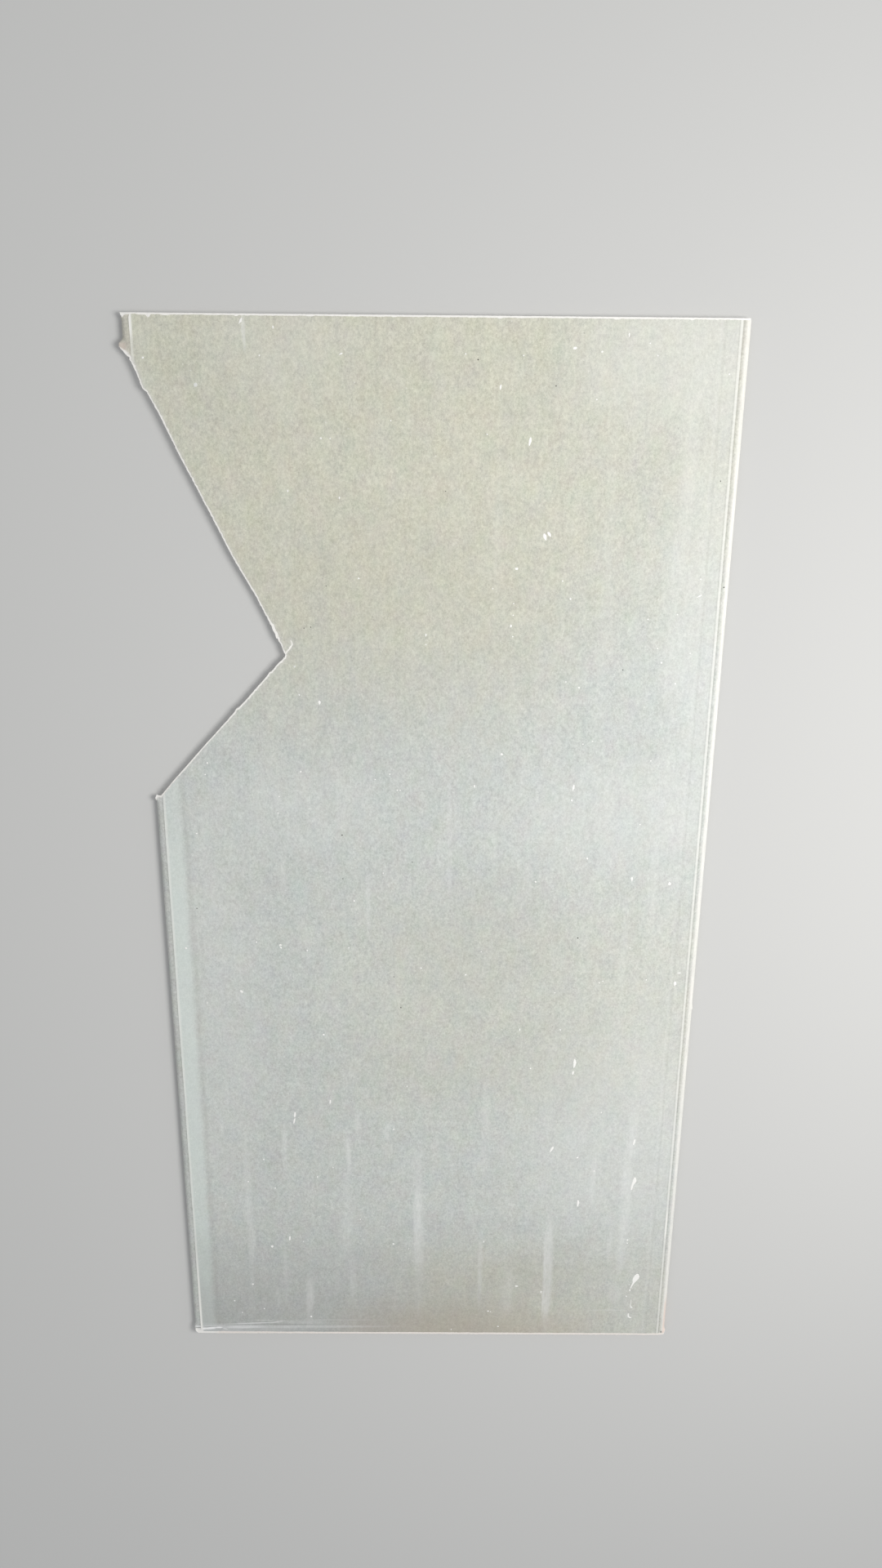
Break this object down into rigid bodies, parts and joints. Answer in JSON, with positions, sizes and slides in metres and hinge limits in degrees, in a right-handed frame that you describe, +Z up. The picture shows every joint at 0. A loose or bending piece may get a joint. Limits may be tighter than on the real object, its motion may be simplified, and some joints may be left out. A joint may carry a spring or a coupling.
{
  "type": "drywall sheet",
  "caption": "Paper-faced gypsum board lying flat, back side up, with papered long edges, sawn ends and a triangle cut out of one long edge.",
  "frame": {"origin": "under the middle of the uncut sheet, on the floor plane that the face paper rests on", "axes": "+Z up out of the back side, +Y along the sheet towards the end beside the cut-out triangle, +X across the sheet away from the cut-out triangle"},
  "size_m": [0.6044, 1.2, 0.0095],
  "materials": {
    "gypsum": "chalky matte plaster",
    "face_paper": "matte recycled board paper",
    "back_paper": "matte recycled board paper with chalky scuffs"
  },
  "bodies": {
    "root": {"gypsum_core": "gypsum", "face_paper": "face_paper", "back_paper": "back_paper"}
  },
  "joints": []
}
